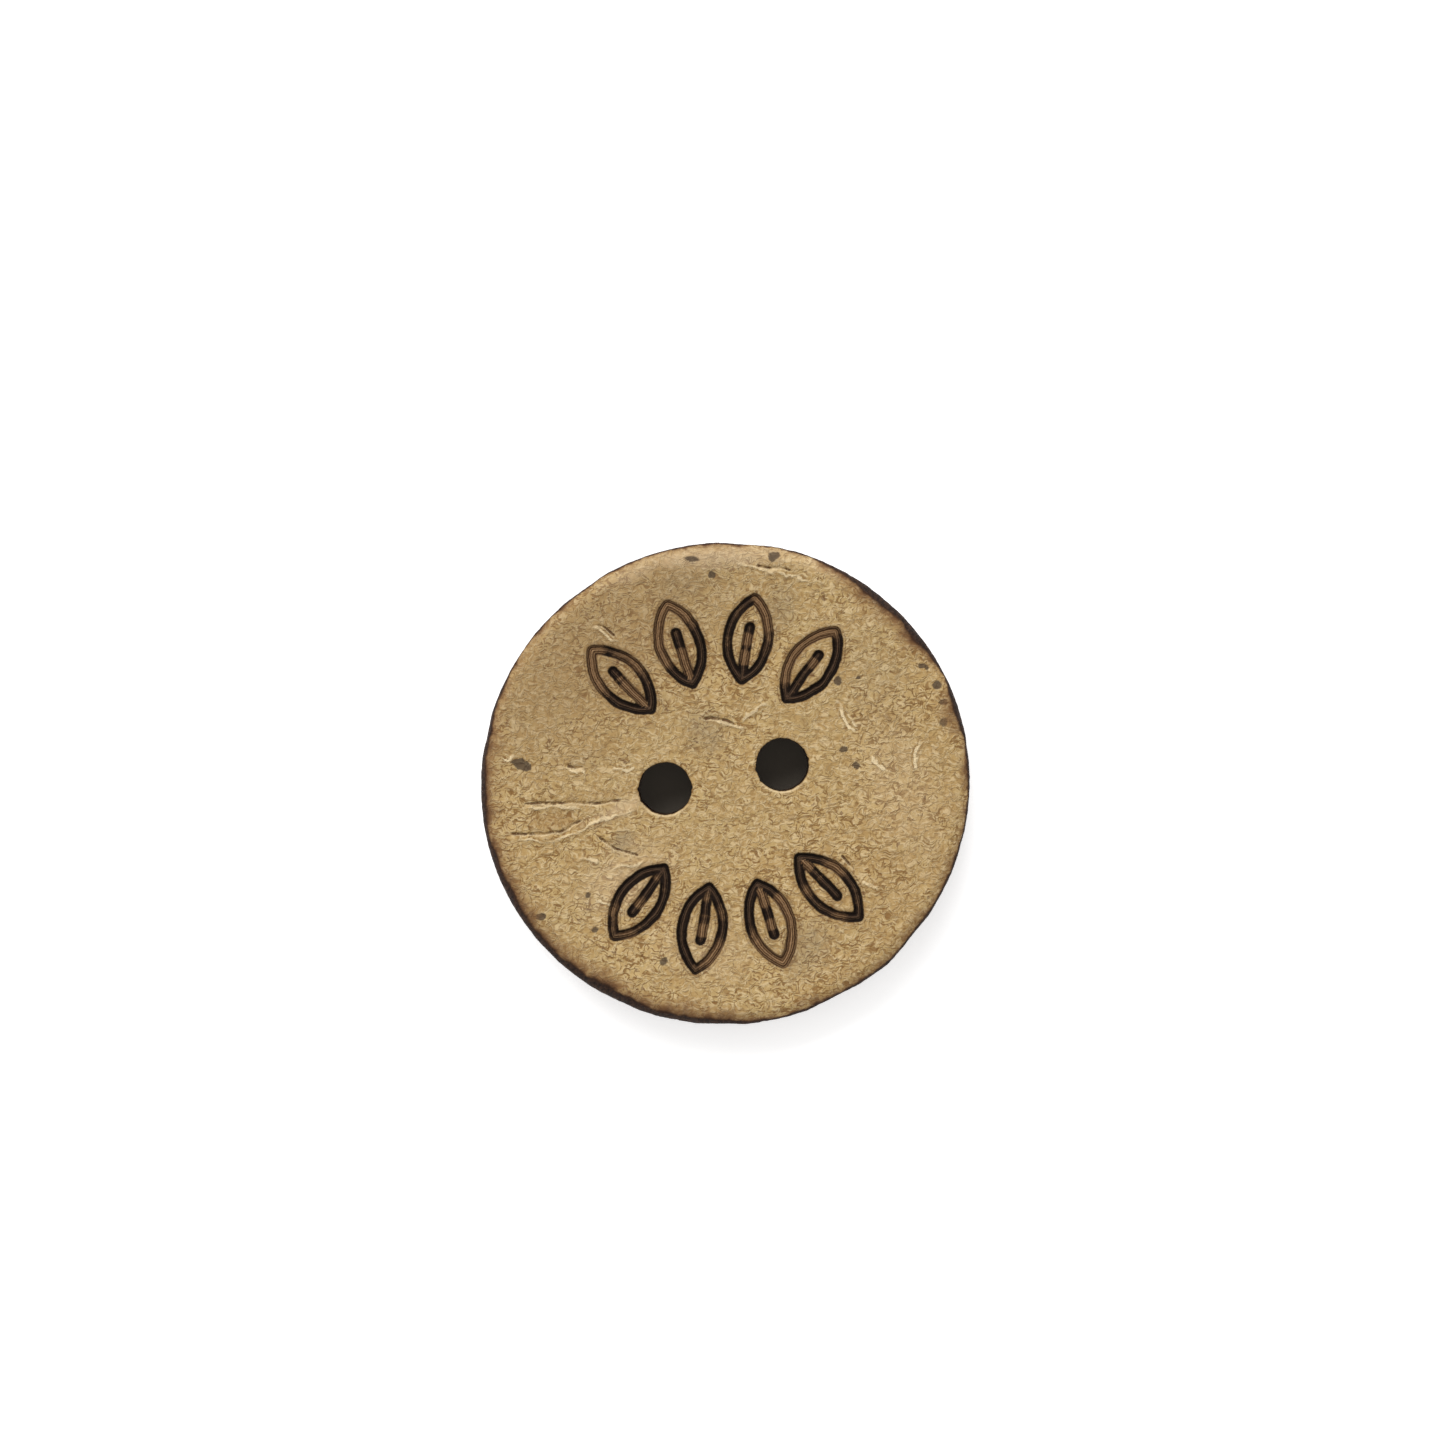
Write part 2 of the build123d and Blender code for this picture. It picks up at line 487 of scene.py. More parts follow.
def burned_paths():
    """Every burned line of the face, in the frame's own axes."""
    paths = []
    for arc in (0, 180):
        for number in range(LEAVES_PER_ARC):
            degrees = LEAF_ARC + arc + (number - (LEAVES_PER_ARC - 1) / 2) * LEAF_STEP
            turn = math.radians(degrees)
            c, s = math.cos(turn), math.sin(turn)
            for path in leaf_paths():
                x = (path[:, 0] + LEAF_RING) * c - path[:, 1] * s
                y = (path[:, 0] + LEAF_RING) * s + path[:, 1] * c
                paths.append([tuple(p) for p in np.stack([x, y], 1)])
    return paths


def near_path(x, y, path, reach):
    """Which points lie in the path's box, grown by reach."""
    low, high = np.min(path, 0) - reach, np.max(path, 0) + reach
    return (x > low[0]) & (x < high[0]) & (y > low[1]) & (y < high[1])


def nearest_line(x, y, moved_x, moved_y, paths, reach, power_of):
    """Distance to the nearest of several bent lines, the same with a side, and that line's own power, which
    power_of(number, place along it) gives. Only points within reach of a line's box are worked out."""
    gap, side, power = np.full(x.shape, FAR), np.full(x.shape, FAR), np.zeros(x.shape)
    for number, path in enumerate(paths):
        near = near_path(x, y, path, reach)
        here, here_side, along = path_gap(moved_x[near], moved_y[near], path)
        closer = here < gap[near]
        power[near] = np.where(closer, power_of(number, along), power[near])
        side[near] = np.where(closer, here_side, side[near])
        gap[near] = np.minimum(gap[near], here)
    return gap, side, power


def line_heat(number, along):
    """How hard a burned line is charred, from 0 to 1: uneven along it, and hottest at its ends."""
    heat = 0.5 + 0.75 * ring_noise(along * TURN, 5, 60 + number)
    heat = heat + 0.2 * ring_noise(along * TURN, 17, 90 + number)
    ends = np.exp(-((np.minimum(along, 1 - along) / 0.09) ** 2))
    return np.clip(heat + 0.9 * ends, 0, 1)


def burn_fields(x, y):
    """Distance to the nearest burned line, the same with a side, and how hard it is charred, from 0 to 1."""
    moved_x = x + 0.025 * lattice_noise(x, y, 0.4, 41)
    moved_y = y + 0.025 * lattice_noise(x, y, 0.4, 42)
    return nearest_line(x, y, moved_x, moved_y, burned_paths(), 0.7, line_heat)


def groove(gap):
    """Depth profile of a burned line, from 0 to 1: two troughs beside a low middle ridge, and a soft
    shoulder."""
    share = gap / (LINE_WIDTH / 2)
    bowl = 1 - smooth_step(0.45, 1.12, share)
    ridge = 0.45 * np.exp(-((share / 0.3) ** 2))
    return bowl * (1 - ridge)


def fading_ends(_, along):
    """Full along a line's middle, and gone at both ends."""
    return smooth_step(0, 0.2, np.minimum(along, 1 - along))


def line_family(x, y, name):
    """Distance to the nearest of a family's bent lines, whose course noise has roughened, the same with a
    side, and a strength that fades towards each line's ends."""
    paths, seed, _ = LINE_FAMILIES[name]
    waver = ((0.07, 0.6), (0.02, 0.2))
    rough_x = x + layered_noise(x, y, seed, *waver)
    rough_y = y + layered_noise(x, y, seed + 2, *waver)
    return nearest_line(x, y, rough_x, rough_y, paths, 0.8, fading_ends)


def bell(family, width):
    """Height of a soft ridge, from 0 to 1, along a family of lines: exp(-(distance / width)^2) times its
    strength, and narrower where it is weak."""
    gap, _, power = family
    return power * np.exp(-((gap / (width * (0.4 + 0.6 * power))) ** 2))


def patch_field(x, y, name, softness=None):
    """The strongest of several oval patches at each point, each full inside and gone over a soft, ragged
    edge."""
    patches, usual_softness, seed = PATCH_KINDS[name]
    softness = softness or usual_softness
    field = np.zeros(x.shape)
    ragged = layered_noise(x, y, seed, (0.22, 0.22), (0.16, 0.09))
    for px, py, long_half, short_half, degrees, strength in patches:
        c, s = math.cos(math.radians(degrees)), math.sin(math.radians(degrees))
        u = ((x - px) * c + (y - py) * s) / long_half
        v = ((y - py) * c - (x - px) * s) / short_half
        inside = 1 - smooth_step(1 - softness, 1 + softness, np.hypot(u, v) + ragged)
        field = np.maximum(field, strength * inside)
    return field


def felt_height(x, y):
    """Matted fibres from -1 to 1: bent coordinates, then noise stretched along the lie of the fibres."""
    lie = math.radians(-16)
    u, v = x * math.cos(lie) + y * math.sin(lie), y * math.cos(lie) - x * math.sin(lie)
    bent_u = u + 0.16 * lattice_noise(x, y, 0.45, 51)
    bent_v = v + 0.16 * lattice_noise(x, y, 0.45, 52)
    long_fibres = lattice_noise(bent_u, bent_v * 2.0, 0.26, 53)
    short_fibres = lattice_noise(bent_u, bent_v * 1.6, 0.15, 54)
    return 0.6 * long_fibres + 0.4 * short_fibres


def face_relief(x, y, sizes):
    """Height of everything on the face above its plain section, in millimetres."""
    gap, _, _ = burn_fields(x, y)
    cut = groove(gap)
    relief = layered_noise(x, y, 21, (0.02, 2.6), (0.012, 1.1))
    relief = relief + sizes.felt_relief / MM * felt_height(x, y) * (1 - 0.7 * cut)
    relief = relief - sizes.burn_depth / MM * cut
    relief = relief + 0.012 * np.exp(-(((gap - LINE_WIDTH * 0.62) / 0.05) ** 2))
    fold = sizes.fold_height / MM
    for name, share, width in (("fold", 1.0, 0.13), ("crack", -1.3, 0.06), ("scratch", 0.3, 0.1)):
        relief = relief + share * fold * bell(line_family(x, y, name), width)
    relief = relief - 0.5 * fold * patch_field(x, y, "spot", 0.3)
    return relief - 0.05 * np.exp(-((hole_gap(x, y) / 0.045) ** 2))


# ---------------------------------------------------------------- meshes


def quad_grid(index):
    """Quads between neighbouring rows and columns of a table of vertex numbers."""
    a, b, c, d = index[:-1, :-1], index[1:, :-1], index[1:, 1:], index[:-1, 1:]
    return np.stack([a, b, c, d], -1).reshape(-1, 4)


def closed_band(index):
    """Quads of a table of vertex numbers whose last column joins its first."""
    return quad_grid(np.concatenate([index, index[:, :1]], 1))


def joined(parts):
    """All the parts' places in one array, and for each part a table of their numbers in the part's shape."""
    shapes = [part.shape[:-1] for part in parts]
    ends = np.cumsum([math.prod(shape) for shape in shapes])
    tables = [np.arange(end - math.prod(shape), end).reshape(shape) for end, shape in zip(ends, shapes)]
    return np.concatenate([part.reshape(-1, part.shape[-1]) for part in parts]), tables


def fill_flat(points, loops):
    """Triangles that fill the area inside the first loop and outside the others, using all the points."""
    places = [Vector(p) for p in points[:, :2].tolist()]
    inside_only = 1
    result = delaunay_2d_cdt(places, [], [loop.tolist() for loop in loops], inside_only, 1e-7)
    faces, sources, parents = result[2], result[3], result[5]
    first = np.array([s[0] if s else -1 for s in sources])
    return first[np.array([face for face, parent in zip(faces, parents) if parent == [0]])]


def write_mesh(name, points, faces, fields, material):
    """A mesh object at the origin from points in millimetres, with a float attribute for each field."""
    mesh = bpy.data.meshes.new(name)
    mesh.from_pydata((points * MM).tolist(), [], [f.tolist() for part in faces for f in part])
    mesh.validate()
    mesh.shade_smooth()
    mesh.set_sharp_from_angle(angle=math.radians(50))
    for field, values in fields.items():
        attribute = mesh.attributes.new(field, "FLOAT", "POINT")
        attribute.data.foreach_set("value", values.astype(np.float32))
    mesh.materials.append(material)
    piece = bpy.data.objects.new(name, mesh)
    bpy.context.scene.collection.objects.link(piece)
    return piece


def inner_points(spacing, reach, clearance):
    """A square lattice of points within reach of the middle and clear of the sewing holes."""
    line = np.arange(-10, 10, spacing) + spacing * 0.37
    x, y = (a.ravel() for a in np.meshgrid(line, line))
    x = x + spacing * 0.2 * lattice_noise(x, y, spacing * 0.7, 5)
    keep = (np.hypot(x, y) < reach) & (hole_gap(x, y) > clearance)
    return np.stack([x[keep], y[keep]], 1)


def square_on_disc(cells):
    """A square grid bent onto a unit disc: x = u sqrt(1 - v^2 / 2), y = v sqrt(1 - u^2 / 2)."""
    line = np.linspace(-1, 1, cells + 1)
    u, v = np.meshgrid(line, line, indexing="ij")
    return u * np.sqrt(1 - v * v / 2), v * np.sqrt(1 - u * u / 2)


def cap(points, loops, inside):
    """Triangles from the first loop in to the others, over the points inside, numbered as in points."""
    chosen = np.concatenate([*loops, inside])
    starts = np.cumsum([0, *(len(loop) for loop in loops)])
    own_loops = [np.arange(a, b) for a, b in zip(starts, starts[1:])]
    return chosen[fill_flat(points[chosen], own_loops)]


def at_angle(radius, angle, height):
    """Points from their radius, angle and height."""
    return np.stack(np.broadcast_arrays(radius * np.cos(angle), radius * np.sin(angle), height), -1)


def polar(flat):
    """Distance from the middle and angle of flat places."""
    return np.hypot(*flat.T), np.arctan2(flat[:, 1], flat[:, 0])


def block_edge(low_i, high_i, low_j, high_j):
    """Grid places round a block of cells, anticlockwise from its low corner."""
    across, up = high_i - low_i, high_j - low_j
    i = np.r_[low_i:high_i, np.full(up, high_i), high_i:low_i:-1, np.full(up, low_i)]
    j = np.r_[np.full(across, low_j), low_j:high_j, np.full(across, high_j), high_j:low_j:-1]
    return i, j


def ease_to_hole(number, start, rings):
    """Rings of flat places that ease from those round a square block, start, to the edge of its hole."""
    cx, cy, _ = HOLES[number]
    turn = np.arctan2(start[:, 1] - cy, start[:, 0] - cx)
    end = at_angle(hole_radius(number, turn), turn, 0)[:, :2] + (cx, cy)
    steps = (np.arange(1, rings + 1) / rings)[:, None, None] ** 0.85
    return start + (end - start) * steps


def skin_face_grid(cells, hole_cells, hole_rings):
    """The face as a bent square grid, with a block of cells round each hole swapped for rings that ease from
    the block's square edge to the round hole. Gives the flat places, the quads and the boundary loops."""
    p, q = square_on_disc(cells)
    share, angle = np.hypot(p, q), np.arctan2(q, p)
    mean_reach = 10.2
    reach = share * (mean_reach + (skin_reach(angle) - mean_reach) * share**8)
    grid = at_angle(reach, angle, 0)[..., :2]
    keep, half = np.ones((cells, cells), bool), hole_cells // 2
    parts, edges = [grid], []
    for number, (cx, cy, _) in enumerate(HOLES):
        away = np.hypot(grid[..., 0] - cx, grid[..., 1] - cy)
        i, j = np.unravel_index(np.argmin(away), away.shape)
        keep[i - half:i + half, j - half:j + half] = False
        edges.append(block_edge(i - half, i + half, j - half, j + half))
        parts.append(ease_to_hole(number, grid[edges[-1]], hole_rings))
    flat, (index, *rings) = joined(parts)
    quads = [closed_band(np.vstack([index[edge], ring]))[:, ::-1] for edge, ring in zip(edges, rings)]
    quads.append(quad_grid(index)[keep.ravel()])
    loops = [index[block_edge(0, cells, 0, cells)], *(ring[-1] for ring in rings)]
    return flat, np.concatenate(quads), loops


def used_only(flat, quads, loops):
    """Drops the places that no quad uses, and numbers the rest anew."""
    used = np.unique(quads)
    renumber = np.full(len(flat), -1)
    renumber[used] = np.arange(len(used))
    return flat[used], renumber[quads], [renumber[loop] for loop in loops]


def on_face(flat, sizes):
    """Lifts flat places, whose distance from the middle is their reach, onto the face and its relief."""
    reach, angle = polar(flat)
    radius, height, _ = off_face(reach, angle, face_relief(flat[:, 0], flat[:, 1], sizes))
    return at_angle(radius, angle, np.minimum(height, RIM_TOP))


def under_face(flat, extra=0.0):
    """Lifts flat places onto the surface where the skin and the shell are bonded, or extra below it."""
    reach, angle = polar(flat)
    radius, height, _ = off_face(reach, angle, -skin_depth(reach, angle) - extra)
    return at_angle(radius, angle, height)


def skin_fields(flat):
    """What the skin's material reads at each flat place: gaps to lines, holes and rim, and patches."""
    x, y = flat.T
    reach, angle = polar(flat)
    gap, side, char = burn_fields(x, y)
    fields = {
        "line_gap": np.minimum(gap, 1.0),
        "line_side": np.clip(side, -1.0, 1.0),
        "line_char": char,
        "rim_gap": np.minimum(skin_reach(angle) - reach, 3.0),
        "bare": bare_width(angle),
        "hole_gap": np.minimum(hole_gap(x, y), 1.0),
        "lower_hole_highlight": lower_hole_highlight(x, y),
    }
    for name, (_, _, width) in LINE_FAMILIES.items():
        family = line_family(x, y, name)
        fields[name] = bell(family, width)
        fields[name + "_side"] = np.clip(family[1], -0.5, 0.5)
    for name in PATCH_KINDS:
        fields[name] = patch_field(x, y, name)
    return fields


def skin_mesh(sizes, material):
    """The pale skin: the worked face, a wall down each hole, a thin lip at the rim and a plain underside."""
    flat, quads, loops = used_only(*skin_face_grid(cells=284, hole_cells=42, hole_rings=14))
    inner = inner_points(spacing=0.8, reach=8.6, clearance=0.35)
    under_flat, (*under_loops, inside) = joined([*(flat[loop] for loop in loops), inner])
    base = len(flat)
    faces = [quads, cap(under_flat, under_loops, inside)[:, ::-1] + base]
    for number, (upper, lower) in enumerate(zip(loops, under_loops)):
        pair = np.stack([lower + base, upper])
        faces.append(closed_band(pair if number else pair[::-1]))
    points = np.concatenate([on_face(flat, sizes), under_face(under_flat)])
    fields = skin_fields(np.concatenate([flat, under_flat]))
    return write_mesh(SKIN_NODE + "_worked", points, faces, fields, material)


def shell_section(angle):
    """The shell's outer section at each angle, as rows of (radius, height, lean, outward): from under the
    skin's lip over the bare edge, down the wall, round the back edge and in a little way under the button.
    outward is how much of the wall's relief a row takes."""
    outer, first, level = outline_radius(angle), skin_reach(angle), 0 * angle
    edge_rows, wall_rows, back_rows = 15, 20, 9
    rows = []
    for inset in (0.5, 0.25, 0.08):
        reach = first - inset
        rows.append((*off_face(reach, angle, -skin_depth(reach, angle) - BOND_GAP), level))
    end = outer + FACE_EDGE * (math.pi / 2 - 1)
    for share in np.linspace(0, 1, edge_rows):
        sink = LIP * (1 - smooth_step(0, 0.25, share))
        rows.append((*off_face(first + (end - first) * share, angle, -sink), level + min(share * 6, 1)))
    for height in np.linspace(RIM_TOP - FACE_EDGE, BACK_EDGE, wall_rows + 2)[1:-1]:
        rows.append((outer, height + level, math.pi / 2 + level, 1 + level))
    for share in np.linspace(0, 1, back_rows):
        lean = math.pi / 2 * (1 + share)
        radius = outer - BACK_EDGE + BACK_EDGE * math.sin(lean)
        height = BACK_EDGE + BACK_EDGE * math.cos(lean) + level
        rows.append((radius, height, lean + level, 1 - share**4 + level))
    return [np.stack(column) for column in zip(*rows)]


def wall_relief(angle, height):
    """Relief of the ground wall in millimetres: fine upright tool lines, level layers and small pits."""
    run = angle * 10
    tool = lattice_noise(run, height * 0.12, 0.16, 101) + 0.6 * lattice_noise(run, height * 0.2, 0.07, 102)
    layers = lattice_noise(run * 0.12, height, 0.2, 103)
    pits = np.clip(lattice_noise(run, height * 1.4, 0.3, 104) - 0.62, 0, None)
    broad = lattice_noise(run, height, 1.6, 105)
    return 0.006 * tool + 0.007 * layers - 0.12 * pits + 0.012 * broad - 0.02


def shell_band(columns):
    """The bare edge, wall and back edge as rows of points right round the button, with the wall's relief."""
    angle = np.arange(columns) / columns * TURN
    radius, height, lean, outward = shell_section(angle)
    around = (angle + 0 * radius) % TURN
    relief = wall_relief(around, height) * outward
    relief = relief * (smooth_step(0, 0.05, around) * smooth_step(0, 0.05, TURN - around))
    height = np.maximum(height + relief * np.cos(lean), 0)
    return at_angle(radius + relief * np.sin(lean), angle, height)


def hole_wall(number, columns, rows):
    """The wall of one hole as rows of points from the bonded top to the back, where it flares a little."""
    cx, cy, _ = HOLES[number]
    turn = np.arange(columns) / columns * TURN
    edge = hole_radius(number, turn)
    top = under_face(at_angle(edge, turn, 0)[:, :2] + (cx, cy), BOND_GAP)[:, 2]
    share = np.linspace(0, 1, rows)[:, None]
    z = top * (1 - share)
    rough = 0.012 * lattice_noise(turn * 3 + 0 * z, z, 0.16, 111 + number) * np.sin(share * math.pi)
    flare = 0.05 * np.exp(-(((1 - share) / 0.05) ** 2))
    return at_angle(edge + rough + flare, turn, z) + (cx, cy, 0)


def shell_mesh(material):
    """The dark shell: its bare edge, wall and back edge as one band, closed by the bonded top, the flat back
    and the walls of the two holes."""
    walls = [hole_wall(number, columns=128, rows=18) for number in range(len(HOLES))]
    top = under_face(inner_points(spacing=0.8, reach=8.3, clearance=0.35), BOND_GAP)
    back = inner_points(spacing=0.16, reach=9.1, clearance=0.15)
    dents = np.clip(lattice_noise(back[:, 0], back[:, 1], 0.35, 121) - 0.7, 0, None) * 0.12
    back = np.column_stack([back, dents])
    points, (band, *holes, top_inside, back_inside) = joined([shell_band(columns=1200), *walls, top, back])
    faces = [closed_band(band), *(closed_band(hole)[:, ::-1] for hole in holes)]
    faces.append(cap(points, [band[0], *(hole[0] for hole in holes)], top_inside))
    faces.append(cap(points, [band[-1], *(hole[-1] for hole in holes)], back_inside)[:, ::-1])
    x, y, z = points.T
    outside = np.hypot(x, y) > 8.8
    inward = 0.08 * np.minimum(RIM_TOP - z, z)
    fields = {
        "rim": smooth_step(RIM_TOP - 1.1, RIM_TOP - 0.45, z) * outside,
        "hole_gap": np.clip(hole_gap(x, y) + inward, 0, 1),
    }
    return write_mesh(SHELL_NODE + "_worked", points, faces, fields, material)


# ---------------------------------------------------------------- shader helpers


class Value:
    """A socket of a shader. Plus, minus, times and abs on it add Math nodes to its tree."""

    def __init__(self, socket):
        self.socket = socket
        self.tree = socket.id_data

    def maths(self, operation, *others):
        """One Math node on this value and others, which may be plain numbers."""
        node = put(self.tree, "ShaderNodeMath", enumerate((self, *others)), operation=operation)
        return Value(node.outputs[0])

    def __add__(self, other):
        return self.maths("ADD", other)

    def __sub__(self, other):
        return self.maths("SUBTRACT", other)

    def __rsub__(self, other):
        return self.maths("MULTIPLY_ADD", -1.0, other)

    def __mul__(self, other):
        return self.maths("MULTIPLY", other)

    def __abs__(self):
        return self.maths("ABSOLUTE")

    def ramp(self, low, high, start=0.0, end=1.0):
        """Takes low..high to start..end along an S-curve, and holds the ends."""
        sockets = {"Value": self, "From Min": low, "From Max": high, "To Min": start, "To Max": end}
        node = put(self.tree, "ShaderNodeMapRange", sockets, interpolation_type="SMOOTHSTEP")
        return Value(node.outputs[0])


def fill(node, sockets):
    """Fills a node's inputs: a socket is linked, a constant is set, and a colour may be three numbers."""
    for name, value in dict(sockets).items():
        socket = node.inputs[name]
        if isinstance(value, Value):
            node.id_data.links.new(value.socket, socket)
        elif socket.type == "RGBA" and len(value) == 3:
            socket.default_value = (*value, 1)
        else:
            socket.default_value = value
    return node


def put(tree, kind, sockets=(), **settings):
    """Adds a node, sets its own settings, then fills its inputs."""
    node = tree.nodes.new(kind)
    for name, value in settings.items():
        setattr(node, name, value)
    return fill(node, sockets)


def named(sockets):
    """Sockets as values by name."""
    return {socket.name: Value(socket) for socket in sockets}


def mix(factor, a, b):
    """Mixes two colours, each a value or a tuple of three numbers."""
    sockets = {0: factor, 6: a, 7: b}
    return Value(put(factor.tree, "ShaderNodeMix", sockets, data_type="RGBA", clamp_factor=True).outputs[2])


def cloud(place, scale, detail=2.0, roughness=0.5):
    """A Noise texture's value, about 0.5."""
    sockets = {"Vector": place, "Scale": scale, "Detail": detail, "Roughness": roughness}
    return Value(put(place.tree, "ShaderNodeTexNoise", sockets).outputs["Fac"])


def field(tree, name):
    """A float attribute of the mesh."""
    return Value(put(tree, "ShaderNodeAttribute", attribute_name=name).outputs["Fac"])


def placed(tree, scale=(1, 1, 1)):
    """Object coordinates in millimetres, stretched."""
    place = Value(put(tree, "ShaderNodeTexCoord").outputs["Object"])
    sockets = {"Vector": place, "Scale": tuple(s / MM for s in scale)}
    return Value(put(tree, "ShaderNodeMapping", sockets).outputs[0])


def vector_maths(operation, *values):
    """One Vector Math node, the first of whose values is a socket's."""
    node = put(values[0].tree, "ShaderNodeVectorMath", enumerate(values), operation=operation)
    return Value(node.outputs[0])


FLOAT, VECTOR, COLOUR = "NodeSocketFloat", "NodeSocketVector", "NodeSocketColor"


def group(name, inputs, outputs, build):
    """A node group with named sockets, whose insides are made by build(tree, inputs) -> outputs by name."""
    tree = bpy.data.node_groups.new(name, "ShaderNodeTree")
    for socket, kind in inputs.items():
        tree.interface.new_socket(socket, in_out="INPUT", socket_type=kind)
    for socket, kind in outputs.items():
        tree.interface.new_socket(socket, in_out="OUTPUT", socket_type=kind)
    entry, leave = tree.nodes.new("NodeGroupInput"), tree.nodes.new("NodeGroupOutput")
    fill(leave, build(tree, named(entry.outputs)))


def fibre_insides(tree, given):
    """Short bent fibres: the place is swayed by soft noise, turned, and stretched along the fibres' lie, and
    the peaks of a noise there are the fibres. The dark ones and the pale ones come from two such noises."""
    noise = put(tree, "ShaderNodeTexNoise", {"Vector": given["Vector"], "Scale": 2.3, "Detail": 1.0})
    swayed = vector_maths("MULTIPLY_ADD", Value(noise.outputs["Color"]), given["Bend"], given["Vector"])
    sockets = {"Vector": swayed, "Angle": given["Turn"]}
    turned = Value(put(tree, "ShaderNodeVectorRotate", sockets, rotation_type="Z_AXIS").outputs[0])
    place = vector_maths("MULTIPLY", turned, given["Stretch"])
    other = vector_maths("ADD", place, (31.7, 12.3, 5.1))
    edge = 0.7 - given["Cover"] * 0.2
    full = edge + 0.09
    dark = cloud(place, 1.0, 1.5, 0.45).ramp(edge, full)
    pale = cloud(other, 0.9, 1.5, 0.45).ramp(edge, full)
    return {"Dark": dark, "Pale": pale, "Height": pale - dark}


def char_insides(_, given):
    """Burning beside an edge: black at it, brown a little way off, with a ragged border between."""
    reach = given["Reach"]
    gap = given["Gap"] + (cloud(given["Vector"], 5.0, 3.0) - 0.5) * given["Ragged"]
    brown = gap.ramp(reach, reach * 3.0, 1.0, 0.0)
    singed = mix(brown * 0.55, given["Colour"], given["Brown"])
    return {"Colour": mix(gap.ramp(reach * 0.3, reach, 1.0, 0.0), singed, given["Black"])}


def shared_groups():
    """The node groups that both materials use, made once."""
    inputs = {"Vector": VECTOR, "Bend": VECTOR, "Turn": FLOAT, "Stretch": VECTOR, "Cover": FLOAT}
    group("matted_fibres", inputs, {"Dark": FLOAT, "Pale": FLOAT, "Height": FLOAT}, fibre_insides)
    inputs = {"Colour": COLOUR, "Brown": COLOUR, "Black": COLOUR, "Gap": FLOAT, "Reach": FLOAT}
    inputs |= {"Ragged": FLOAT, "Vector": VECTOR}
    group("charred_edge", inputs, {"Colour": COLOUR}, char_insides)


def use(tree, name, **sockets):
    """Places a shared node group and fills its inputs."""
    return named(put(tree, "ShaderNodeGroup", sockets, node_tree=bpy.data.node_groups[name]).outputs)


def new_material(name):
    """An empty node material."""
    material = bpy.data.materials.new(name)
    material.use_nodes = True
    material.node_tree.nodes.clear()
    return material, material.node_tree


def finish_material(tree, colour, roughness, height, **constants):
    """Joins colour, roughness and a bump whose height is in millimetres to one Principled shader, whose
    plain numbers stay on its sockets."""
    bump = put(tree, "ShaderNodeBump", {"Height": height, "Distance": MM, "Strength": 1.0})
    sockets = {"Base Color": colour, "Roughness": roughness, "Normal": Value(bump.outputs[0])}
    sockets |= {name.replace("_", " "): value for name, value in constants.items()}
    shader = put(tree, "ShaderNodeBsdfPrincipled", sockets)
    put(tree, "ShaderNodeOutputMaterial", {"Surface": Value(shader.outputs[0])})


def darker(colour, share):
    """A colour times a plain share."""
    return tuple(c * share for c in colour)


def crisp_line(tree, family, fine, medium, width):
    """A thin broken line along a family's middle, which its signed distance places between the mesh's
    points."""
    side = field(tree, family + "_side") + fine * 0.07
    thin = abs(side).ramp(width * 0.35, width, 1.0, 0.0)
    kept = medium.ramp(-0.13, 0.03, 0.2, 1.0)
    broken = fine.ramp(-0.12, 0.03, 0.3, 1.0)
    return thin * kept * broken * field(tree, family).ramp(0.35, 0.7), side


def frayed(tree, family, fine, medium, pitch):
    """Hair-thin strands that run beside one another along a family of lines, as pale ones and dark ones."""
    phase = field(tree, family + "_side") * (TURN / pitch) + (fine * 4.0 + medium * 14.0)
    wave = phase.maths("COSINE")
    strength = field(tree, family).ramp(0.1, 0.75) * medium.ramp(-0.12, 0.02, 0.45, 1.0)
    return strength * wave.ramp(-0.3, 0.5), strength * wave.ramp(-0.9, -0.4, 1.0, 0.0)


# ---------------------------------------------------------------- materials


def felted(tree, place, clouds, main, fleck):
    """The plain face: a tan that drifts, with pale and dark fibres matted over it, and small dark specks.
    Gives the colour and the height."""
    broad, medium, fine = clouds
    lying = use(tree, "matted_fibres", Vector=place, Bend=(0.5,) * 3, Turn=math.radians(14),
                Stretch=(3.2, 12.5, 4.0), Cover=0.8)
    tossed = use(tree, "matted_fibres", Vector=place, Bend=(0.7,) * 3, Turn=math.radians(-50),
                 Stretch=(3.8, 12.5, 4.0), Cover=0.75)
    crowd = (medium + broad * 0.7).ramp(-0.12, 0.12, 0.35, 1.0)
    tone = mix(broad.ramp(-0.15, 0.18), darker(main, 0.93), darker(main, 1.07))
    tone = mix(medium.ramp(-0.12, 0.12), WARM_TAN, tone)
    tone = mix(fine.ramp(-0.14, 0.02, 0.34, 0.0), tone, FELT_SHADE)
    tone = mix(fine.ramp(0.0, 0.16, 0.0, 0.5), tone, WORN_PALE)
    tone = mix(lying["Pale"] * 0.65, tone, WORN_PALE)
    tone = mix(tossed["Pale"] * 0.55, tone, WORN_PALE)
    tone = mix(lying["Dark"] * crowd * 0.85, tone, fleck)
    tone = mix(tossed["Dark"] * crowd * 0.8, tone, fleck)
    tone = mix((medium + fine * 0.8).ramp(0.2, 0.27, 0.0, 0.65), tone, SPECK)
    return tone, lying["Height"] * 0.012 + tossed["Height"] * 0.01 + fine * 0.022


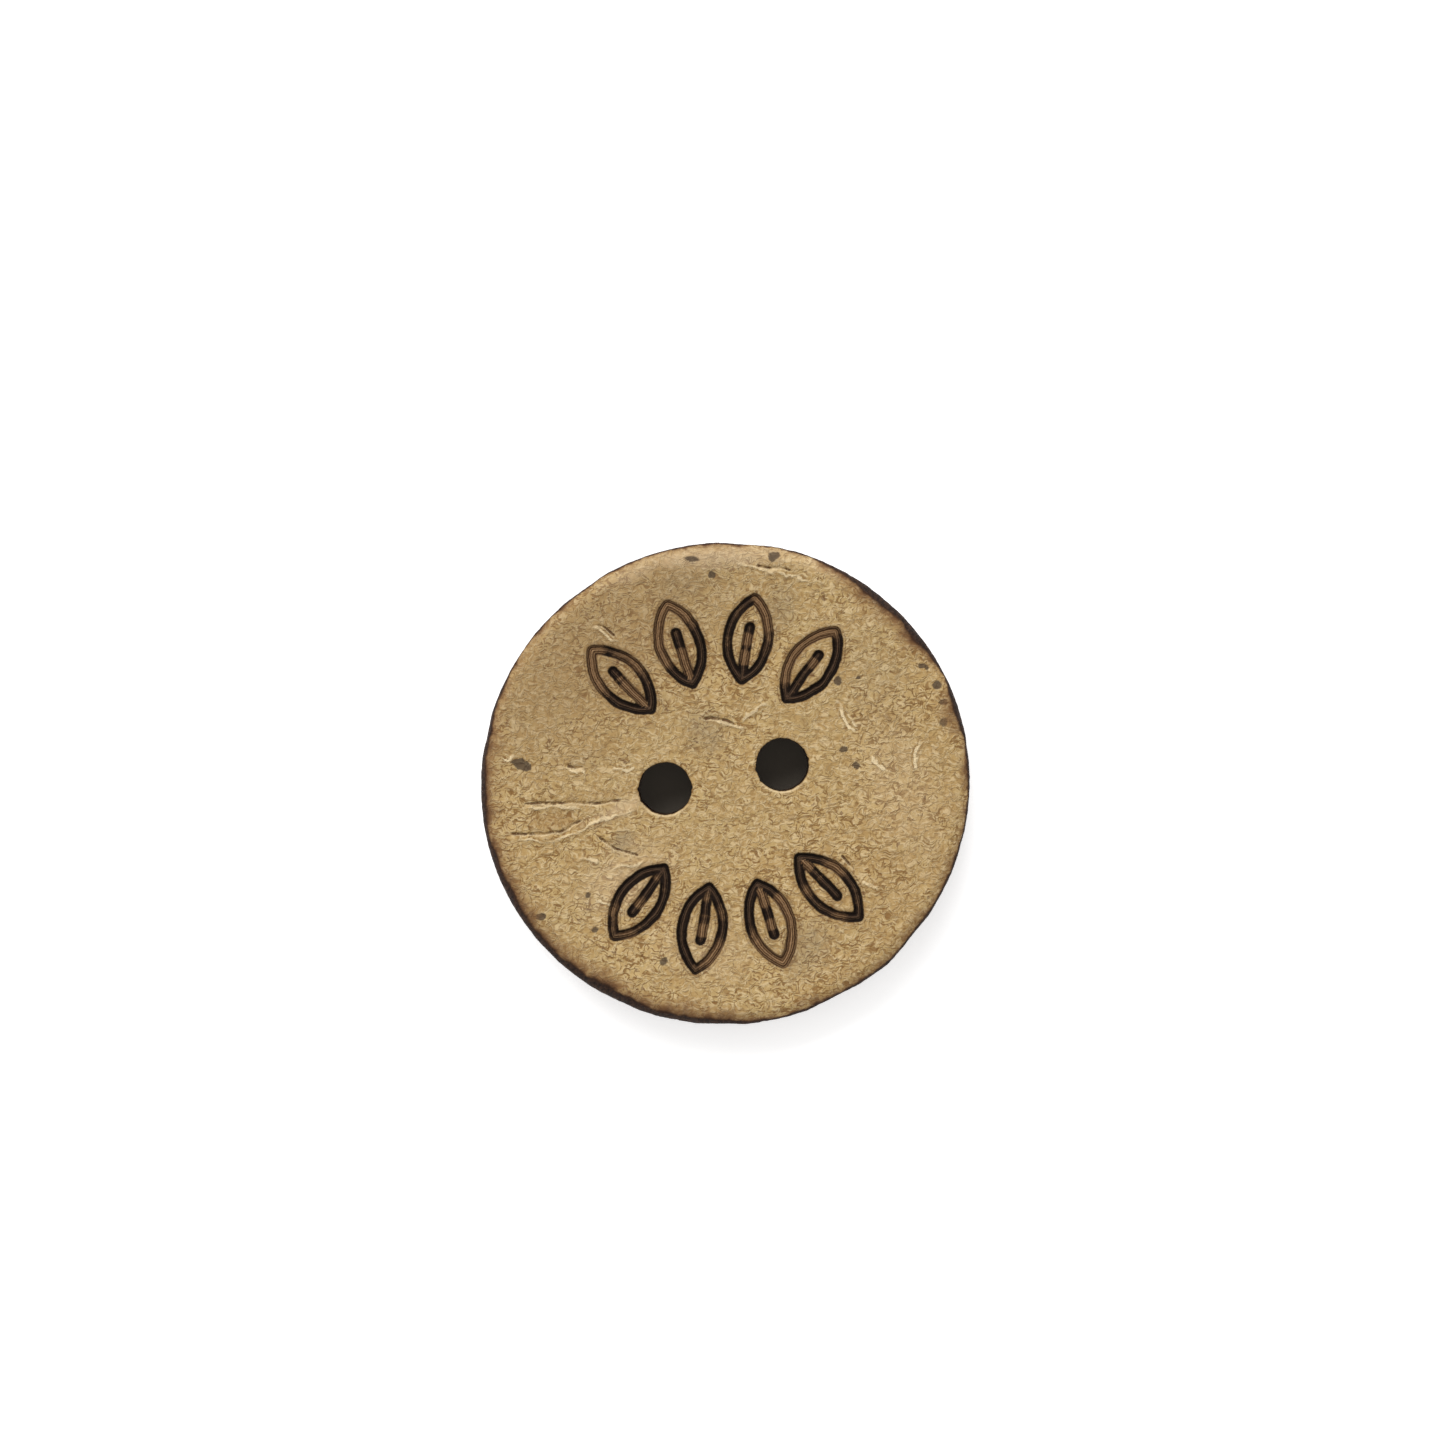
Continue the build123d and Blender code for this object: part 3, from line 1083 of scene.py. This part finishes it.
def marked(tree, tone, clouds, fleck):
    """The stains, folds, scratches, cracks and round spots laid over a colour, with painted shade in the
    cracks' slits, a painted highlight along their lower lips and a painted highlight among the pale stains.
    Gives the colour and the height."""
    _, medium, fine = clouds
    # The pale patches hold pale stains and a painted highlight along the top of the rim.
    for name, share, stain in (("grey", 0.44, GREY_STAIN), ("rusty", 0.42, RUST), ("pale", 0.38, CHALKY_AND_HIGHLIGHT)):
        tone = mix(field(tree, name) * share, tone, stain)
    fold_pale, fold_dark = frayed(tree, "fold", fine, medium, 0.24)
    scratch_pale, scratch_dark = frayed(tree, "scratch", fine, medium, 0.26)
    slit, side = crisp_line(tree, "crack", fine, medium, 0.07)
    # A pale line just below each crack: a painted highlight of the slit's lower wall catching the light.
    crack_lower_highlight = field(tree, "crack") * side.ramp(-0.13, -0.06) * side.ramp(-0.05, 0.0, 1.0, 0.0)
    tone = mix(fold_pale * 0.7, tone, SCRAPED_AND_HIGHLIGHT)
    tone = mix(scratch_pale * 0.9, tone, SCRAPED_AND_HIGHLIGHT)
    tone = mix((fold_dark + scratch_dark) * 0.4, tone, fleck)
    tone = mix(crack_lower_highlight * 0.6, tone, SCRAPED_AND_HIGHLIGHT)
    # The slit itself is painted dark: painted shade in the crack.
    tone = mix(slit * 0.85, tone, SLIT_SHADE)
    tone = mix(field(tree, "spot").ramp(0.08, 0.7, 0.0, 0.85), tone, SPOT)
    return tone, (fold_pale + scratch_pale) * 0.03 - slit * 0.06


def worn_rim(tree, tone, medium):
    """The rim ground through to the shell: brown over a width that follows the bare edge, then darker, then
    nearly black at the lip."""
    gap = field(tree, "rim_gap")
    rim = gap + medium * 1.1
    reach = (field(tree, "bare") * 4.5 + 0.22).maths("MINIMUM", 1.0)
    tone = mix(rim.ramp(-0.1, reach, 0.8, 0.0), tone, RIM_BROWN)
    tone = mix(rim.ramp(-0.1, reach * 0.5, 0.85, 0.0), tone, RIM_DARK)
    return mix((gap + medium * 0.3).ramp(0.0, 0.17, 0.92, 0.0), tone, RIM_EDGE)


def burned(tree, tone, clouds, char):
    """The burned leaf lines drawn over a colour, with a brown halo and a thin ring outside them. Inside, a
    line is brown with long dark streaks and painted glints between them where the tool ran cool, black where
    it was hot and along both sides, and a little paler down the middle, partly the ridge's own colour and
    partly a painted highlight along it. Gives the colour, the roughness and the height."""
    _, medium, fine = clouds
    half = LINE_WIDTH / 2
    gap = field(tree, "line_gap") + fine * 0.05
    side = field(tree, "line_side")
    hot = (field(tree, "line_char") + (fine + medium) * 0.6).ramp(0.3, 0.85)
    cool = 1.0 - hot * 0.75
    inside = gap.ramp(half * 0.82, half * 1.06, 1.0, 0.0)
    edges = gap.ramp(half * 0.28, half * 0.5) * inside
    middle = abs(side).ramp(0.005, 0.045, 1.0, 0.0) * gap.ramp(0.06, 0.12, 1.0, 0.0)
    ring = abs(gap - half * 1.4).ramp(0.0, 0.045, 1.0, 0.0) * medium.ramp(-0.08, 0.08, 0.1, 0.5)
    phase = side * (TURN / 0.09) + (medium * 9.0 + fine * 1.5)
    streak = phase.maths("SINE")
    body = mix(hot, LIGHT_BURN, darker(char, 1.8))
    body = mix(streak.ramp(-0.1, 0.7) * cool * 0.85, body, BURN_STREAK)
    # Pale glints between the dark streaks: a painted highlight.
    body = mix(streak.ramp(-0.95, -0.6, 1.0, 0.0) * cool * 0.6, body, GLINT_HIGHLIGHT)
    body = mix(edges * (hot * 0.45 + 0.5), body, char)
    # Paler down the middle: the ridge's own colour with a painted highlight along it.
    body = mix(middle * 0.6, body, mix(hot, TOASTED_MIDDLE_AND_HIGHLIGHT, BURNED_MIDDLE_AND_HIGHLIGHT))
    tone = mix(gap.ramp(half * 0.7, half * 1.6, 0.42, 0.0), tone, LINE_HALO)
    tone = mix(ring, tone, LINE_RING)
    return mix(inside, tone, body), 0.9 - inside * hot * 0.2, middle * 0.03 - inside * 0.035


def skin_material(colours):
    """Dry felted skin: flecked tan, stained and worn towards the rim, with burned lines drawn on top."""
    material, tree = new_material("dry_inner_skin")
    fleck, char = tuple(colours.fleck), tuple(colours.char)
    place = placed(tree)
    scales = ((0.3, 2.0, 0.55), (1.5, 3.0, 0.6), (5.0, 3.0, 0.7))
    clouds = [cloud(place, *scale) - 0.5 for scale in scales]
    tone, felt = felted(tree, place, clouds, tuple(colours.pale_skin), fleck)
    tone, marks = marked(tree, tone, clouds, fleck)
    tone = worn_rim(tree, tone, clouds[1])
    # The lower side of each hole is lightened: a painted highlight where its bevel faces the light.
    tone = mix(field(tree, "lower_hole_highlight") * 0.7, tone, SCRAPED_AND_HIGHLIGHT)
    edge = use(tree, "charred_edge", Colour=tone, Brown=SCORCH, Black=char, Gap=field(tree, "hole_gap"),
               Reach=0.018, Ragged=0.06, Vector=place)
    tone, rough, tracks = burned(tree, edge["Colour"], clouds, char)
    finish_material(tree, tone, rough, felt + marks + tracks, Specular_IOR_Level=0.07)
    return material


def shell_material(colours):
    """Ground coconut shell: dark brown in level layers, with upright tool lines and pale fibre ends, burned
    along the top and round the holes, half polished."""
    material, tree = new_material("ground_dark_shell")
    shell, char = tuple(colours.shell), tuple(colours.char)
    place = placed(tree)
    medium = cloud(place, 1.5, 3.0, 0.6) - 0.5
    grain = use(tree, "matted_fibres", Vector=place, Bend=(0.3, 0.3, 0.15), Turn=0.0,
                Stretch=(3.2, 3.2, 15.0), Cover=0.55)
    layers = cloud(placed(tree, (0.35, 0.35, 6.5)), 1.0, 4.0, 0.65)
    tooled = cloud(placed(tree, (7.0, 7.0, 0.7)), 1.0, 2.0, 0.6)
    tone = mix(layers.ramp(0.35, 0.66), darker(shell, 0.5), darker(shell, 1.4))
    tone = mix(medium.ramp(-0.05, 0.2, 0.0, 0.5), tone, SHELL_PATCH)
    tone = mix(tooled.ramp(0.5, 0.66, 0.0, 0.4), tone, darker(shell, 0.4))
    tone = mix(grain["Pale"] * 0.42, tone, FIBRE_END)
    tone = mix(grain["Dark"] * 0.6, tone, darker(shell, 0.35))
    cells = put(tree, "ShaderNodeTexVoronoi", {"Vector": placed(tree, (1.0, 1.0, 1.6)), "Scale": 3.2})
    dot = Value(cells.outputs["Distance"]).ramp(0.1, 0.22, 1.0, 0.0) * medium.ramp(0.02, 0.1)
    tone = mix(dot * 0.5, tone, FIBRE_DOT)
    singed = (field(tree, "rim") + medium * 0.5).ramp(0.5, 0.95)
    tone = mix(singed * 0.92, tone, mix(tooled.ramp(0.38, 0.62), SINGED_SHELL, BURNED_SHELL))
    edge = use(tree, "charred_edge", Colour=tone, Brown=darker(shell, 0.5), Black=char,
               Gap=field(tree, "hole_gap"), Reach=0.05, Ragged=0.05, Vector=place)
    rough = medium.ramp(-0.2, 0.25, 0.45, 0.62) + singed * 0.25
    height = grain["Height"] * 0.006 + medium * 0.03 - (dot * 0.012 + tooled * 0.02)
    finish_material(tree, edge["Colour"], rough, height, Specular_IOR_Level=0.14)
    return material


def plain_material(name, colour, glow):
    """A matt stage surface with a faint unevenness, and a glow of its own like a light table's."""
    material, tree = new_material(name)
    patch = cloud(placed(tree), 0.05)
    tone = mix(patch, darker(colour, 0.985), colour)
    finish_material(tree, tone, 0.9, patch * 0.001, Specular_IOR_Level=0.2,
                    Emission_Color=(1, 1, 1), Emission_Strength=glow)
    return material


# ---------------------------------------------------------------- operators


def stand_for(piece, node):
    """The piece moves with the frame's one body and takes the place of its CAD node."""
    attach(piece, BODY)
    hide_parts(node)


class BUTTON_OT_dark_shell(bpy.types.Operator):
    """Build the dark shell of the button"""

    bl_idname = "button.dark_shell"
    bl_label = "Dark Shell"

    def execute(self, context):
        piece = shell_mesh(shell_material(context.scene.button_colours))
        stand_for(piece, SHELL_NODE)
        return {"FINISHED"}


class BUTTON_OT_pale_skin(bpy.types.Operator):
    """Build the pale inner skin with its burned leaves"""

    bl_idname = "button.pale_skin"
    bl_label = "Pale Skin"

    def execute(self, context):
        piece = skin_mesh(context.scene.button_sizes, skin_material(context.scene.button_colours))
        stand_for(piece, SKIN_NODE)
        return {"FINISHED"}


def key_light(place, size, power):
    """A square area light that faces the middle of the button."""
    light = bpy.data.lights.new("key", "AREA")
    light.size = size
    light.energy = power
    lamp = bpy.data.objects.new("key", light)
    lamp.location = place
    lamp.rotation_mode = "QUATERNION"
    lamp.rotation_quaternion = (-place).to_track_quat("-Z", "Y")
    bpy.context.scene.collection.objects.link(lamp)


def stage_plane(name, material, half, height):
    """A flat square about the middle at a height."""
    corners = [(x * half, y * half, height) for x, y in ((-1, -1), (1, -1), (1, 1), (-1, 1))]
    mesh = bpy.data.meshes.new(name)
    mesh.from_pydata(corners, [], [(0, 1, 2, 3)])
    mesh.materials.append(material)
    plane = bpy.data.objects.new(name, mesh)
    bpy.context.scene.collection.objects.link(plane)


def studio_world():
    """A white surround, full at the horizon and softer overhead."""
    world = bpy.data.worlds.new("studio")
    world.use_nodes = True
    tree = world.node_tree
    direction = Value(put(tree, "ShaderNodeTexCoord").outputs["Generated"])
    height = Value(put(tree, "ShaderNodeSeparateXYZ", {"Vector": direction}).outputs["Z"])
    fill(tree.nodes["Background"], {"Color": (1, 1, 1), "Strength": height.ramp(0.1, 0.5, 1.02, 0.72)})
    return world


def camera_over(scene, right, up, roll):
    """A long lens straight above the face, turned about its own axis, with the button a little low."""
    lens, sensor, frame_width = 100.0, 36.0, 59.6 * MM
    camera = bpy.data.cameras.new("camera")
    camera.lens = lens
    camera.sensor_width = sensor
    camera.clip_start = 0.01
    eye = bpy.data.objects.new("camera", camera)
    height = RIM_TOP / 2 * MM + frame_width * lens / sensor
    eye.location = up * 2.51 * MM - right * 0.11 * MM + Vector((0, 0, height))
    eye.rotation_euler = (0, 0, roll)
    scene.collection.objects.link(eye)
    scene.camera = eye


class BUTTON_OT_stage(bpy.types.Operator):
    """Set out the pale floor, the dark card under the holes, the light, the surround and the camera"""

    bl_idname = "button.stage"
    bl_label = "Stage"

    def execute(self, context):
        scene = context.scene
        roll = math.radians(-11.5)
        right = Vector((math.cos(roll), math.sin(roll), 0))
        up = Vector((-math.sin(roll), math.cos(roll), 0))
        floor = plain_material("pale_floor", PALE_FLOOR, glow=0.4)
        card = plain_material("dark_card", DARK_CARD, glow=0.0)
        stage_plane("floor", floor, half=1.5, height=-0.02 * MM)
        stage_plane("card", card, half=4.3 * MM, height=-0.01 * MM)
        key_light(up * 0.36 - right * 0.13 + Vector((0, 0, 0.33)), size=0.4, power=2.3)
        scene.world = studio_world()
        scene.view_settings.view_transform = "Standard"
        camera_over(scene, right, up, roll)
        return {"FINISHED"}


class BUTTON_PT_panel(bpy.types.Panel):
    """The button's pieces and settings"""

    bl_label = "Coconut Shell Button"
    bl_space_type = "VIEW_3D"
    bl_region_type = "UI"
    bl_category = "Button"

    def draw(self, context):
        for settings in (context.scene.button_sizes, context.scene.button_colours):
            for name in settings.__annotations__:
                self.layout.prop(settings, name)
        for operator in (BUTTON_OT_dark_shell, BUTTON_OT_pale_skin, BUTTON_OT_stage):
            self.layout.operator(operator.bl_idname)


CLASSES = (
    ButtonSizes,
    ButtonColours,
    BUTTON_OT_dark_shell,
    BUTTON_OT_pale_skin,
    BUTTON_OT_stage,
    BUTTON_PT_panel,
)


def register():
    """Registers the classes and hangs the settings on the scene."""
    for c in CLASSES:
        bpy.utils.register_class(c)
    bpy.types.Scene.button_sizes = PointerProperty(type=ButtonSizes)
    bpy.types.Scene.button_colours = PointerProperty(type=ButtonColours)


def unregister():
    """Takes the settings off the scene and unregisters the classes."""
    del bpy.types.Scene.button_colours
    del bpy.types.Scene.button_sizes
    for c in reversed(CLASSES):
        bpy.utils.unregister_class(c)


def main():
    register()
    shared_groups()
    bpy.ops.button.dark_shell()
    bpy.ops.button.pale_skin()
    bpy.ops.button.stage()
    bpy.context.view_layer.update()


if __name__ == "__main__":
    main()
